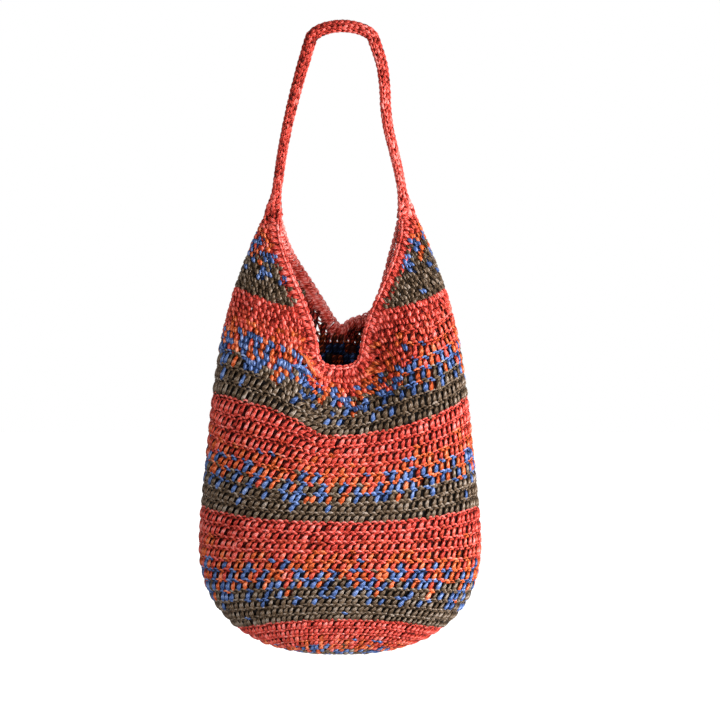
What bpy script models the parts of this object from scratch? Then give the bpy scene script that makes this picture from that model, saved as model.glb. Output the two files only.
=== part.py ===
"""Crocheted shoulder bag, hanging by its strap.

Metres, +Z up, the front of the bag towards -Y. The origin is on the underside of the strap, at the
place where a hook or a hand holds it.
"""

import math

import bmesh
import bpy
import numpy as np

# Body: outside sizes of the stuffed and hanging bag
BODY_WIDTH = 0.270
BODY_DEPTH = 0.150
BODY_HEIGHT = 0.420  # base to the tips of the two side peaks
WIDEST_HEIGHT = 0.112  # base to the widest round
BASE_SQUARENESS = 2.4  # 2 is an ellipse, more is squarer, seen from the front
ROUND_SQUARENESS = 2.3  # the same for a round, seen from above
WAIST = 0.003  # how far the sides draw in above the widest round
FABRIC = 0.0045
RIDGE = 0.0018  # depth of the furrow between two rounds of stitches

# Neck: the V-shaped cuts in the front and the back, and what is left beside them
PEAK_SPREAD = 0.144  # across the outer edges of the two peaks
PEAK_DEPTH = 0.026  # front to back at the peaks
PEAK_SQUARENESS = 4.2  # of the folded peak, seen from above: it is blunt at its side
FOLD_START = 0.6  # share of the way up where the sides begin to fold
PEAK_TAPER = 0.6  # share of its narrowing that is even, the rest comes towards the top
PEAK_SAG = -0.010  # the folded peak is this much higher at its side than in front
FRONT_DIP = 0.144  # peaks down to the lowest point of the front edging
BACK_DIP = 0.105
FRONT_RIM_DEPTH = 0.052  # how far the front edging's lowest point stands forward
BACK_RIM_DEPTH = 0.050
FRONT_CUT = (math.radians(65), 1.2, math.radians(13))  # angle at the peak, flare, flat bottom
BACK_CUT = (math.radians(61), 1.45, math.radians(3.2))
FLAT_FADE = 5  # how soon the flat bottom of a cut gives way to its straight sides
FLAT_CORNER = 0.02  # share of the cut's height over which its bottom corner turns
BACK_SLUMP = 0.0375  # how far the back rim sinks to the right of its middle
BACK_LEAN = 0.006  # how far it leans outward there
SLUMP_ANGLE = math.radians(160.5)
SLUMP_WIDTH = math.radians(19)
SLUMP_SHARE = 0.88
SLUMP_REACH = 0.068
FRONT_FOLD = 0.016  # depth of the hollow into which the front falls under its cut
FOLD_ANGLE = math.radians(5)
FOLD_WIDTH = math.radians(19)
FOLD_SHARE = 0.80
FOLD_REACH = 0.12

# Crochet
BODY_ROUNDS = 38
PEAK_ROUNDS = 9
PEAK_ROUND_RATIO = 0.72  # height of a round in the peaks over one in the body
NECK_ROUND = 35  # the last round that goes all the way round
ROW_CROWD = 1.04  # 1 spaces the rounds evenly in front, more crowds them towards the base
COLUMNS = 20
GAP_WIDTH = 0.0024
GAP_HEIGHT = 0.0040
GAP_REACH = 2  # length of a gap cutter over the fabric's thickness
GAP_EVERY = 3  # rounds between two rows of open gaps
FIRST_GAP_ROUND = 11
FIRST_FURROW_ROUND = 3
PEAK_GAP_SHARES = (0.25, 0.5, 0.75)  # places across a peak

# Edging worked along both cuts of the neck
EDGING_WIDTH = 0.009
EDGING_THICKNESS = 0.0048
EDGING_PROUD = 0.0006
CORNER_EASING = 3  # passes that round the band off where a cut turns

# Strap: a crocheted cord, slightly flat, that turns as it hangs
STRAP_DROP = 0.172  # underside of the strap's top down to the peaks
STRAP_WIDTH = 0.0128
STRAP_THICKNESS = 0.0100
STRAP_LOBE = 0.0006  # height of the lengthwise chains on its skin
STRAP_FOOT = 0.026  # length over which it spreads to meet a peak
STRAP_TWIST = math.radians(200)
ARCH_LEFT = -0.0285  # where the left limb leaves the arch
ARCH_RIGHT = 0.0330
ARCH_RISE = 0.0156
LEFT_BOW = 0.0048
RIGHT_BOW = 0.0035
STRAP_STATIONS = 36
LIMB_POINTS = 8
ARCH_POINTS = 9
STRAP_SIDES = 12
FOOT_HOLLOW = 0.003

# Pieces that touch keep this much between them
CLEARANCE = 0.0003

SAMPLES = 240
STEP = 1e-4

BASE_Z = -(STRAP_DROP + BODY_HEIGHT)
FULL_ROUNDS = BODY_ROUNDS + PEAK_ROUNDS
ROUND_SHARE = 1 / (BODY_ROUNDS + PEAK_ROUNDS * PEAK_ROUND_RATIO)

CORAL = (0.76, 0.09, 0.06, 1.0)
ORANGE = (0.80, 0.13, 0.03, 1.0)


def clear_scene():
    """Removes the objects of the startup scene."""
    for obj in list(bpy.data.objects):
        bpy.data.objects.remove(obj, do_unlink=True)


def raffia(name, colour):
    """A matt paper yarn."""
    material = bpy.data.materials.new(name)
    material.use_nodes = True
    shader = material.node_tree.nodes["Principled BSDF"]
    shader.inputs["Base Color"].default_value = colour
    shader.inputs["Roughness"].default_value = 0.6
    shader.inputs["Metallic"].default_value = 0.0
    return material


def share_of_round(count):
    """How far up the side of the bag a round lies, from 0 at the base to 1 at the peak."""
    in_body = np.minimum(count, BODY_ROUNDS)
    in_peak = np.maximum(count - BODY_ROUNDS, 0) * PEAK_ROUND_RATIO
    return (in_body + in_peak) * ROUND_SHARE


NECK_SHARE = float(share_of_round(NECK_ROUND))


def wall_profile(reach, power, top_reach, top_height, waist=0.0):
    """Points (out, up) of a line from the base centre, round the belly and up the wall."""
    angle = np.linspace(0, math.pi / 2, SAMPLES)
    bowl_out = reach * np.sin(angle) ** (2 / power)
    bowl_up = WIDEST_HEIGHT * (1 - np.abs(np.cos(angle)) ** (2 / power))
    rise = np.linspace(0, 1, SAMPLES)[1:]
    wall_out = reach - (reach - top_reach) * rise**2 - waist * np.sin(2 * math.pi * rise)
    wall_up = WIDEST_HEIGHT + (top_height - WIDEST_HEIGHT) * rise
    return np.column_stack([np.append(bowl_out, wall_out), np.append(bowl_up, wall_up)])


def along(profile, share):
    """The profile's (out, height) at a share of its length."""
    steps = np.linalg.norm(np.diff(profile, axis=0), axis=1)
    length = np.append(0, np.cumsum(steps))
    place = np.asarray(share) * length[-1]
    out = np.interp(place, length, profile[:, 0])
    return out, np.interp(place, length, profile[:, 1]) + BASE_Z


SIDE_PROFILE = wall_profile(BODY_WIDTH / 2, BASE_SQUARENESS, PEAK_SPREAD / 2, BODY_HEIGHT, WAIST)
FRONT_PROFILE = wall_profile(
    BODY_DEPTH / 2, 2, FRONT_RIM_DEPTH, BODY_HEIGHT - FRONT_DIP - EDGING_WIDTH
)
BACK_PROFILE = wall_profile(
    BODY_DEPTH / 2, 2, BACK_RIM_DEPTH, BODY_HEIGHT - BACK_DIP - EDGING_WIDTH
)


def middle_line(profile, share):
    """Depth and height of the front or back centre, carried on above the cut of the neck."""
    depth, height = along(profile, np.minimum(share / NECK_SHARE, 1) ** ROW_CROWD)
    beyond = np.clip((share - NECK_SHARE) / (1 - NECK_SHARE), 0, 1)
    fade = 0.5 + 0.5 * np.cos(math.pi * np.sqrt(beyond))
    sag = profile[-1, 1] + BASE_Z - along(SIDE_PROFILE, NECK_SHARE)[1]
    upper = along(SIDE_PROFILE, share)[1] + PEAK_SAG + (sag - PEAK_SAG) * fade
    taper = PEAK_TAPER * beyond + (1 - PEAK_TAPER) * beyond**2
    narrow = profile[-1, 0] - (profile[-1, 0] - PEAK_DEPTH / 2) * taper
    return np.where(beyond > 0, narrow, depth), np.where(beyond > 0, upper, height)


def signed_power(value, power):
    return np.sign(value) * np.abs(value) ** power


def surface(angle, share):
    """Points of the bag's outer skin: angle from the front centre, to the right, and share."""
    angle, share = np.broadcast_arrays(np.asarray(angle, float), np.asarray(share, float))
    across, ahead = np.sin(angle), np.cos(angle)
    half_width, side_z = along(SIDE_PROFILE, share)
    front, front_z = middle_line(FRONT_PROFILE, share)
    back, back_z = middle_line(BACK_PROFILE, share)
    depth = np.where(ahead >= 0, front, back)
    middle_z = np.where(ahead >= 0, front_z, back_z)
    power = 2 / ROUND_SQUARENESS
    x = half_width * signed_power(across, power)
    fold = np.clip((share - FOLD_START) / (1 - FOLD_START), 0, 1)
    y = -depth * signed_power(ahead, power + (2 / PEAK_SQUARENESS - power) * fold)
    z = side_z + (middle_z - side_z) * ahead**2
    aside = (angle % (2 * math.pi) - SLUMP_ANGLE) / SLUMP_WIDTH
    slump = np.exp(-(aside**2) - ((share - SLUMP_SHARE) / SLUMP_REACH) ** 2)
    turned = (angle - FOLD_ANGLE + math.pi) % (2 * math.pi) - math.pi
    sunk = np.exp(-((turned / FOLD_WIDTH) ** 2) - ((share - FOLD_SHARE) / FOLD_REACH) ** 2)
    y = y + BACK_LEAN * slump + FRONT_FOLD * sunk
    return np.stack([x, y, z - BACK_SLUMP * slump], axis=-1)


def slopes(angle, share):
    """Change of the skin's point per radian and per share."""
    by_angle = (surface(angle + STEP, share) - surface(angle - STEP, share)) / (2 * STEP)
    low = np.maximum(share - STEP, 0)
    high = np.minimum(share + STEP, 1)
    by_share = (surface(angle, high) - surface(angle, low)) / (high - low)[..., None]
    return by_angle, by_share


def outward(angle, share):
    """Unit normals of the skin."""
    by_angle, by_share = slopes(angle, share)
    normal = np.cross(by_angle, by_share)
    size = np.linalg.norm(normal, axis=-1, keepdims=True)
    down = np.array([0.0, 0.0, -1.0])
    return np.where(size > 1e-9, normal / np.maximum(size, 1e-12), down)


def cut_angle(share, cut):
    """Angle from the centre line to the cut of the neck, at a share above the last whole round."""
    peak_angle, flare, flat = cut
    rise = np.clip((share - NECK_SHARE) / (1 - NECK_SHARE), 0, 1)
    bottom = flat * (1 - rise) ** FLAT_FADE * np.tanh(rise / FLAT_CORNER)
    return peak_angle * rise**flare + bottom


def add_object(name, mesh, material, collection):
    mesh.materials.append(material)
    obj = bpy.data.objects.new(name, mesh)
    collection.objects.link(obj)
    return obj


def closed_mesh(name, points, faces):
    """A mesh with its faces turned outward and shaded smooth up to sharp edges."""
    mesh = bpy.data.meshes.new(name)
    mesh.from_pydata([tuple(p) for p in points], [], faces)
    work = bmesh.new()
    work.from_mesh(mesh)
    bmesh.ops.recalc_face_normals(work, faces=work.faces)
    work.to_mesh(mesh)
    work.free()
    mesh.shade_smooth()
    mesh.set_sharp_from_angle(angle=math.radians(50))
    return mesh


def shell_faces(faces, count):
    """Adds the inner skin and the rim to an open skin whose inner points follow count later."""
    inner = [tuple(i + count for i in reversed(face)) for face in faces]
    edges = {}
    for face in faces:
        for a, b in zip(face, face[1:] + face[:1]):
            edges[(a, b)] = True
    rim = [(b, a, a + count, b + count) for a, b in edges if (b, a) not in edges]
    return faces + inner + rim


def furrow(rounds):
    """Depth of the skin below its ridges: none where two rounds link, most halfway."""
    return RIDGE * np.abs(np.sin(math.pi * rounds))


def neck_levels():
    """Round counts of the levels above the last whole round, closer where the cut is rounded."""
    near = [NECK_ROUND + 0.06, NECK_ROUND + 0.2]
    return near + list(np.arange(NECK_ROUND + 0.5, FULL_ROUNDS + 0.25, 0.5))


def panel_angles(rounds):
    """Angles of the columns of the right-hand panel, from the front cut to the back cut."""
    share = share_of_round(rounds)
    front = float(cut_angle(share, FRONT_CUT))
    back = math.pi - float(cut_angle(share, BACK_CUT))
    return np.linspace(front, back, COLUMNS // 2 + 1)


def body_skin():
    """(angles, rounds, faces) of the open skin: whole rounds, then a panel on each side."""
    angles, rounds, faces = [0.0], [0.0], []
    levels = list(np.arange(1.0, FIRST_FURROW_ROUND + 1))
    levels += list(np.arange(FIRST_FURROW_ROUND + 0.5, NECK_ROUND + 0.25, 0.5))
    ring = None
    for level in levels:
        start = len(angles)
        angles += list(np.linspace(0, 2 * math.pi, COLUMNS, endpoint=False))
        rounds += [level] * COLUMNS
        new = [start + i for i in range(COLUMNS)]
        for i in range(COLUMNS):
            j = (i + 1) % COLUMNS
            faces.append((0, new[j], new[i]) if ring is None else (ring[i], ring[j], new[j], new[i]))
        ring = new
    half = COLUMNS // 2
    for side in (1, -1):
        low = [ring[(side * i) % COLUMNS] for i in range(half + 1)]
        for level in neck_levels():
            start = len(angles)
            angles += list(side * panel_angles(level))
            rounds += [level] * (half + 1)
            new = [start + i for i in range(half + 1)]
            for i in range(half):
                face = (low[i], low[i + 1], new[i + 1], new[i])
                faces.append(face if side > 0 else face[::-1])
            low = new
    return np.array(angles), np.array(rounds), faces


def gap_places():
    """(angle, round) of each gap that is open right through the fabric."""
    places = []
    step = 2 * math.pi / COLUMNS
    for row, level in enumerate(range(FIRST_GAP_ROUND, NECK_ROUND - 1, GAP_EVERY)):
        first = 0.5 + row % 2
        places += [((first + 2 * i) * step, level + 0.25) for i in range(COLUMNS // 2)]
    for level in range(NECK_ROUND + GAP_EVERY, FULL_ROUNDS - 2, GAP_EVERY):
        columns = panel_angles(level + 0.25)
        for share in PEAK_GAP_SHARES:
            angle = columns[0] + (columns[-1] - columns[0]) * share
            places += [(angle, level + 0.25), (-angle, level + 0.25)]
    return places


def gap_cutters(collection):
    """Small upright boxes through the fabric, between the stitches."""
    work = bmesh.new()
    for angle, rounds in gap_places():
        share = np.array(share_of_round(rounds))
        spot = np.array(angle)
        out = outward(spot, share)
        up = slopes(spot, share)[1]
        up = up / np.linalg.norm(up)
        side = np.cross(up, out)
        middle = surface(spot, share) - out * FABRIC / 2
        made = bmesh.ops.create_cube(work, size=1.0)["verts"]
        for vert in made:
            place = (
                middle
                + side * vert.co.x * GAP_WIDTH
                + up * vert.co.y * GAP_HEIGHT
                + out * vert.co.z * FABRIC * GAP_REACH
            )
            vert.co = tuple(place)
    bmesh.ops.recalc_face_normals(work, faces=work.faces)
    mesh = bpy.data.meshes.new("gap_cutters")
    work.to_mesh(mesh)
    work.free()
    obj = bpy.data.objects.new("gap_cutters", mesh)
    obj.hide_render = True
    obj.display_type = "WIRE"
    collection.objects.link(obj)
    return obj


def build_body(collection, cutters):
    """The crocheted body: base, sides and both peaks in one piece of fabric."""
    angles, rounds, faces = body_skin()
    shares = share_of_round(rounds)
    skin = surface(angles, shares)
    out = outward(angles, shares)
    outer = skin - out * furrow(rounds)[:, None]
    inner = skin - out * FABRIC
    mesh = closed_mesh("crochet_body", np.vstack([outer, inner]), shell_faces(faces, len(skin)))
    body = add_object("crochet_body", mesh, raffia("striped_raffia", ORANGE), collection)
    cut = body.modifiers.new("open_gaps", "BOOLEAN")
    cut.operation = "DIFFERENCE"
    cut.solver = "EXACT"
    cut.object = gap_cutters(cutters)
    return body


def rim_path(cut, facing):
    """(angles, shares) along a cut, from the left peak through the middle to the right peak."""
    shares = share_of_round(np.array([NECK_ROUND] + neck_levels()))
    angles = cut_angle(shares, cut)
    angles = np.append(-angles[:0:-1], angles)
    shares = np.append(shares[:0:-1], shares)
    return (angles if facing > 0 else math.pi - angles), shares


def eased(line, passes):
    """The line with its corners rounded off and its ends kept."""
    line = line.copy()
    for _ in range(passes):
        line[1:-1] = (line[:-2] + 2 * line[1:-1] + line[2:]) / 4
    return line


def step_across(angles, shares, width, facing, passes=0):
    """The path moved sideways over the skin, into the opening of the neck."""
    points = surface(angles, shares)
    run = np.gradient(points, axis=0)
    out = outward(angles, shares)
    side = np.cross(out, run)
    side /= np.linalg.norm(side, axis=1, keepdims=True)
    side = eased(side, passes)
    side *= facing * width / np.linalg.norm(side, axis=1, keepdims=True)
    by_angle, by_share = slopes(angles, shares)
    moved = np.column_stack([angles, shares])
    for i in range(len(angles)):
        basis = np.column_stack([by_angle[i], by_share[i]])
        moved[i] += np.linalg.lstsq(basis, side[i], rcond=None)[0]
    moved = eased(moved, passes)
    return moved[:, 0], np.minimum(moved[:, 1], 1.0)


def build_edging(name, cut, facing, collection):
    """A narrow band of coral stitches along one cut, level with the fabric."""
    path = rim_path(cut, facing)
    near = step_across(*path, CLEARANCE, facing)
    far = step_across(*path, EDGING_WIDTH, facing, CORNER_EASING)
    outer, inner = [], []
    for line, out in ((near, outward(*path)), (far, outward(*far))):
        skin = surface(*line)
        outer.append(skin + out * EDGING_PROUD)
        inner.append(skin - out * (EDGING_THICKNESS - EDGING_PROUD))
    count = len(path[0])
    points = np.vstack(outer + inner)
    faces = [(i, i + 1, count + i + 1, count + i) for i in range(count - 1)]
    mesh = closed_mesh(name, points, shell_faces(faces, 2 * count))
    return add_object(name, mesh, raffia(name + "_raffia", CORAL), collection)


def foot_ring(side):
    """The strap's outline where it sits on the folded peak, on the right for side 1."""
    corners = []
    for cut, facing in ((FRONT_CUT, 1), (BACK_CUT, -1)):
        angles, _ = step_across(*rim_path(cut, facing), EDGING_WIDTH, facing)
        corners.append(abs(angles[-1]))
    wrap = STRAP_SIDES * 2 // 3
    angles = np.linspace(corners[0], corners[1], wrap + 1)
    shares = np.ones_like(angles)
    up = slopes(angles, shares)[1]
    up /= np.linalg.norm(up, axis=1, keepdims=True)
    folded = surface(angles, shares) + up * CLEARANCE
    between = np.linspace(0, 1, STRAP_SIDES - wrap + 1)[1:-1, None]
    closing = folded[-1] + (folded[0] - folded[-1]) * between
    ring = np.vstack([folded, closing])
    ring[:, 0] *= side
    return ring


def limb(foot, side):
    """Points from one foot of the strap up to the arch, right out to the side and back in."""
    spring_x = ARCH_RIGHT if side > 0 else ARCH_LEFT
    spring_z = STRAP_THICKNESS / 2 - ARCH_RISE
    fall = np.linspace(1, 0, LIMB_POINTS + 1)[:-1]
    if side > 0:
        bow = RIGHT_BOW * np.sin(3 * math.pi * fall) * (1 - fall)
    else:
        bow = -LEFT_BOW * np.sin(math.pi * fall)
    x = spring_x + (side * foot[0] - spring_x) * fall + bow
    z = spring_z + (foot[2] - spring_z) * fall
    return np.column_stack([x, np.zeros_like(x), z])


def arch():
    """Points of the strap's top, from left to right."""
    turn = np.linspace(math.pi, 0, ARCH_POINTS)
    x = (ARCH_LEFT + ARCH_RIGHT) / 2 + (ARCH_RIGHT - ARCH_LEFT) / 2 * np.cos(turn)
    z = STRAP_THICKNESS / 2 - ARCH_RISE * (1 - np.sin(turn))
    return np.column_stack([x, np.zeros_like(x), z])


def strap_line():
    """Centre line of the strap from the left foot over the hold point to the right foot."""
    foot = foot_ring(1).mean(axis=0)
    return np.vstack([limb(foot, -1), arch(), limb(foot, 1)[::-1]])


def smooth_line(points, count):
    """count points, evenly spaced, on a Catmull-Rom curve through the given ones."""
    ends = np.vstack([2 * points[0] - points[1], points, 2 * points[-1] - points[-2]])
    fine = []
    for i in range(1, len(ends) - 2):
        a, b, c, d = ends[i - 1 : i + 3]
        for t in np.linspace(0, 1, 12, endpoint=False):
            fine.append(
                0.5
                * (
                    2 * b
                    + (c - a) * t
                    + (2 * a - 5 * b + 4 * c - d) * t**2
                    + (3 * b - 3 * c + d - a) * t**3
                )
            )
    fine.append(points[-1])
    fine = np.array(fine)
    length = np.append(0, np.cumsum(np.linalg.norm(np.diff(fine, axis=0), axis=1)))
    even = np.linspace(0, length[-1], count)
    return np.column_stack([np.interp(even, length, fine[:, k]) for k in range(3)]), even


def build_strap(collection):
    """The strap: a crocheted cord with lengthwise chains, spread at both feet over the peaks."""
    line, length = smooth_line(strap_line(), STRAP_STATIONS)
    run = np.gradient(line, axis=0)
    run /= np.linalg.norm(run, axis=1, keepdims=True)
    back = np.array([0.0, 1.0, 0.0])
    outside = np.cross(back, run) * -1
    steps = np.arange(STRAP_SIDES) - STRAP_SIDES // 3
    around = steps * 2 * math.pi / STRAP_SIDES
    feet = {0: foot_ring(-1), STRAP_STATIONS - 1: foot_ring(1)}
    rings = []
    for i in range(STRAP_STATIONS):
        turned = around - STRAP_TWIST * (length[i] / length[-1] - 0.5)
        long, short = STRAP_WIDTH / 2, STRAP_THICKNESS / 2
        oval = long * short / np.hypot(short * np.cos(turned), long * np.sin(turned))
        oval = oval - STRAP_LOBE * (np.arange(STRAP_SIDES) % 2)
        ring = line[i] + oval[:, None] * (
            np.cos(around)[:, None] * outside[i] + np.sin(around)[:, None] * back
        )
        rings.append(ring)
    points = []
    for i in range(STRAP_STATIONS):
        end = 0 if i < STRAP_STATIONS / 2 else STRAP_STATIONS - 1
        blend = min(abs(length[i] - length[end]) / STRAP_FOOT, 1)
        blend = blend * blend * (3 - 2 * blend)
        spread = feet[end] + (line[i] - line[end])
        points.append(spread * (1 - blend) + rings[i] * blend)
    faces = []
    for i in range(STRAP_STATIONS - 1):
        low, high = i * STRAP_SIDES, (i + 1) * STRAP_SIDES
        for j in range(STRAP_SIDES):
            k = (j + 1) % STRAP_SIDES
            faces.append((low + j, low + k, high + k, high + j))
    count = STRAP_STATIONS * STRAP_SIDES
    hollows = [
        feet[0].mean(axis=0) + run[0] * FOOT_HOLLOW,
        feet[STRAP_STATIONS - 1].mean(axis=0) - run[-1] * FOOT_HOLLOW,
    ]
    for j in range(STRAP_SIDES):
        k = (j + 1) % STRAP_SIDES
        faces.append((count, k, j))
        last = count - STRAP_SIDES
        faces.append((count + 1, last + j, last + k))
    mesh = closed_mesh("shoulder_strap", np.vstack(points + hollows), faces)
    return add_object("shoulder_strap", mesh, raffia("strap_raffia", CORAL), collection)


def main():
    clear_scene()
    parts = bpy.data.collections.new("crocheted_shoulder_bag")
    cutters = bpy.data.collections.new("cutters")
    bpy.context.scene.collection.children.link(parts)
    bpy.context.scene.collection.children.link(cutters)
    build_body(parts, cutters)
    build_edging("front_neck_edging", FRONT_CUT, 1, parts)
    build_edging("back_neck_edging", BACK_CUT, -1, parts)
    build_strap(parts)


main()
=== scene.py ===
"""Crocheted raffia shoulder bag, hanging by its strap.

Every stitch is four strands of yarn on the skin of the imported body: a plump front leg, a second leg
behind it, a link to the next stitch and a leg on the inside. Round the neck, where the cloth is
bunched up, the legs are two short loops and the link slants between them. The edgings and the
strap are worked in the same way, along the cuts of the neck and round a cord.
"""

import math

import bpy
import numpy as np
from bpy.props import FloatProperty, FloatVectorProperty, IntProperty, PointerProperty
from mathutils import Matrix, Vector


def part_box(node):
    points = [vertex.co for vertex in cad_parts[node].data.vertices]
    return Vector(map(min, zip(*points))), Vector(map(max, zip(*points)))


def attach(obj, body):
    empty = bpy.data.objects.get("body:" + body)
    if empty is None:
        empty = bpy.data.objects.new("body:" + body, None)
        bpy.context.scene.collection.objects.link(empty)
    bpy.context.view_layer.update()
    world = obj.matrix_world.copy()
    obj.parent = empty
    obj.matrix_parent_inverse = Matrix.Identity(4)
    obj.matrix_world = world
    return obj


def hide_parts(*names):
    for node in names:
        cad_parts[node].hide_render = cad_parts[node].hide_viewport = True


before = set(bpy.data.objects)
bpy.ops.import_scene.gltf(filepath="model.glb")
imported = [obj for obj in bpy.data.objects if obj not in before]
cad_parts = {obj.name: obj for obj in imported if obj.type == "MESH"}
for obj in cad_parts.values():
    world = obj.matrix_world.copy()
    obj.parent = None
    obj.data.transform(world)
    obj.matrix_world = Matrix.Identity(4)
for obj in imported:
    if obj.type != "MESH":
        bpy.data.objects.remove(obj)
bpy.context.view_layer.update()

bl_info = {
    "name": "Crocheted Shoulder Bag",
    "version": (1, 0, 0),
    "blender": (4, 5, 0),
    "location": "View3D > Sidebar > Bag",
    "description": "Works a raffia shoulder bag stitch by stitch over its packed solids",
    "category": "Add Mesh",
}

BODY_LOW, BODY_HIGH = (np.array(corner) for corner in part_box("crochet_body"))

# The hanging body, as its solid has it, in metres
BODY_WIDTH = float(BODY_HIGH[0] - BODY_LOW[0])
BODY_DEPTH = float(BODY_HIGH[1] - BODY_LOW[1])
BODY_HEIGHT = float(BODY_HIGH[2] - BODY_LOW[2])
BASE_Z = float(BODY_LOW[2])
WIDEST_HEIGHT = 0.112
ELLIPSE = 2  # power of a curve that is an ellipse; more makes it squarer
BASE_SQUARENESS = 2.4
ROUND_SQUARENESS = 2.3
WAIST = 0.003

# The neck and the two folded peaks
PEAK_SPREAD = 0.144
PEAK_DEPTH = 0.026
PEAK_SQUARENESS = 4.2
FOLD_START = 0.6
PEAK_TAPER = 0.6
PEAK_SAG = -0.010
FRONT_DIP = 0.144
BACK_DIP = 0.105
FRONT_RIM_DEPTH = 0.052
BACK_RIM_DEPTH = 0.050
# The cuts: angle from the centre line at the peak, how they flare, and angle of their flat bottom
FRONT_CUT = (math.radians(65), 1.2, math.radians(13))
BACK_CUT = (math.radians(61), 1.45, math.radians(3.2))
FLAT_FADE = 5
FLAT_CORNER = 0.02
# Where the back sinks and leans, and where the front falls in: how far, and where on the skin
BACK_SLUMP = 0.0375
BACK_LEAN = 0.006
SLUMP_ANGLE = math.radians(160.5)
SLUMP_WIDTH = math.radians(19)
SLUMP_SHARE = 0.88
SLUMP_REACH = 0.068
FRONT_FOLD = 0.016
FOLD_ANGLE = math.radians(5)
FOLD_WIDTH = math.radians(19)
FOLD_SHARE = 0.80
FOLD_REACH = 0.12
EDGING_WIDTH = 0.009

# Rounds of crochet
BODY_ROUNDS = 38
PEAK_ROUNDS = 9
PEAK_ROUND_RATIO = 0.72
NECK_ROUND = 35
ROW_CROWD = 1.04
INCREASES = 12  # stitches added in each round of the base
FULL_COUNT = 100  # stitches in a whole round of the sides
FULL_ROUNDS = BODY_ROUNDS + PEAK_ROUNDS
ROUND_SHARE = 1 / (BODY_ROUNDS + PEAK_ROUNDS * PEAK_ROUND_RATIO)

# The strap, with the route that its solid follows
STRAP_WIDTH = 0.0128
STRAP_THICKNESS = 0.0100
STRAP_FOOT = 0.026
STRAP_TWIST = math.radians(200)
ARCH_LEFT = -0.0285
ARCH_RIGHT = 0.0330
ARCH_RISE = 0.0156
LEFT_BOW = 0.0048
RIGHT_BOW = 0.0035
LIMB_POINTS = 8
ARCH_POINTS = 9
CLEARANCE = 0.0003
STRAP_CHAINS = 6  # lengthwise chains round the cord

SAMPLES = 240  # points along the outline of a bowl or a wall
STEP = 1e-4  # small change of an angle or a share, from which a slope is worked out
TINY = 1e-12  # least length that is divided by
NO_SLOPE = 1e-9  # below this the skin shrinks to a point, at the base centre

# Rounds at which the yarn turns from olive brown above to coral below
COLOUR_TURNS = (0, 9, 20, 29, 38, 49)
CORAL, VERMILION, ORANGE, BLUE, OLIVE = range(5)
# Colour of the front and the second leg down one repeat: where a stretch ends, then the chance
# of each yarn, in the order above
FRONT_LEG_YARNS = (
    (0.11, (1.0, 0.0, 0.0, 0.0, 0.0)),
    (0.20, (0.88, 0.12, 0.0, 0.0, 0.0)),
    (0.30, (0.56, 0.38, 0.06, 0.0, 0.0)),
    (0.40, (0.20, 0.48, 0.32, 0.0, 0.0)),
    (0.45, (0.08, 0.36, 0.40, 0.16, 0.0)),
    (0.55, (0.04, 0.18, 0.40, 0.38, 0.0)),
    (0.66, (0.0, 0.08, 0.30, 0.42, 0.20)),
    (0.73, (0.0, 0.0, 0.08, 0.42, 0.50)),
    (0.80, (0.0, 0.0, 0.0, 0.24, 0.76)),
    (0.86, (0.0, 0.0, 0.0, 0.12, 0.88)),
    (1.01, (0.0, 0.0, 0.0, 0.0, 1.0)),
)
SECOND_LEG_YARNS = (
    (0.22, (0.95, 0.05, 0.0, 0.0, 0.0)),
    (0.34, (0.50, 0.42, 0.08, 0.0, 0.0)),
    (0.45, (0.14, 0.44, 0.34, 0.08, 0.0)),
    (0.57, (0.04, 0.20, 0.36, 0.38, 0.02)),
    (0.67, (0.0, 0.04, 0.26, 0.46, 0.24)),
    (0.78, (0.0, 0.0, 0.04, 0.38, 0.58)),
    (1.01, (0.0, 0.0, 0.0, 0.02, 0.98)),
)
RIGHT_PEAK_AHEAD = 0.8  # rounds by which the colours turn sooner in the right peak
RIGHT_PEAK_FROM = 41

# Where the hanging cloth pulls its rows above even spacing: round, angle from the front centre,
# reach of the lift in rounds and in degrees, and its height in rounds
DRAPE = (
    (33.0, -50.0, 4.0, 38.0, 1.9),
    (34.0, -17.0, 3.6, 14.0, 0.7),
    (30.0, -28.0, 4.0, 22.0, 1.2),
    (33.5, 28.0, 3.5, 22.0, 1.2),
)
STEEP_SHARE = 0.35  # how far the stitches on the left of the front follow the slope of their rows
STEEP_PLACE = (12.0, 24.0)  # degrees left of the front centre between which this sets in
DRAPE_LEFT = (3.0, 16.0)  # degrees from the front centre between which the lift sets in
DRAPE_RIGHT = (3.0, 18.0)


def linear(hex_colour):
    """The linear colour of an sRGB hex value."""
    channels = [int(hex_colour[i : i + 2], 16) / 255 for i in (1, 3, 5)]
    return tuple(c / 12.92 if c <= 0.04045 else ((c + 0.055) / 1.055) ** 2.4 for c in channels)


class YarnColours(bpy.types.PropertyGroup):
    """Dyes of the raffia yarn."""

    coral: FloatVectorProperty(
        name="Coral",
        description="Red-pink yarn of the wide bands, the edgings and the strap",
        subtype="COLOR",
        size=3,
        min=0,
        max=1,
        default=linear("#E04C3C"),
    )
    vermilion: FloatVectorProperty(
        name="Vermilion",
        description="Yarn where the coral turns to orange",
        subtype="COLOR",
        size=3,
        min=0,
        max=1,
        default=linear("#E15339"),
    )
    orange: FloatVectorProperty(
        name="Orange",
        description="Orange yarn under each coral band",
        subtype="COLOR",
        size=3,
        min=0,
        max=1,
        default=linear("#E5672C"),
    )
    blue: FloatVectorProperty(
        name="Blue",
        description="Blue yarn, mixed with the orange and the olive brown",
        subtype="COLOR",
        size=3,
        min=0,
        max=1,
        default=linear("#5472AE"),
    )
    olive: FloatVectorProperty(
        name="Olive brown",
        description="Dark yarn that ends each repeat",
        subtype="COLOR",
        size=3,
        min=0,
        max=1,
        default=linear("#6C5640"),
    )


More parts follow.
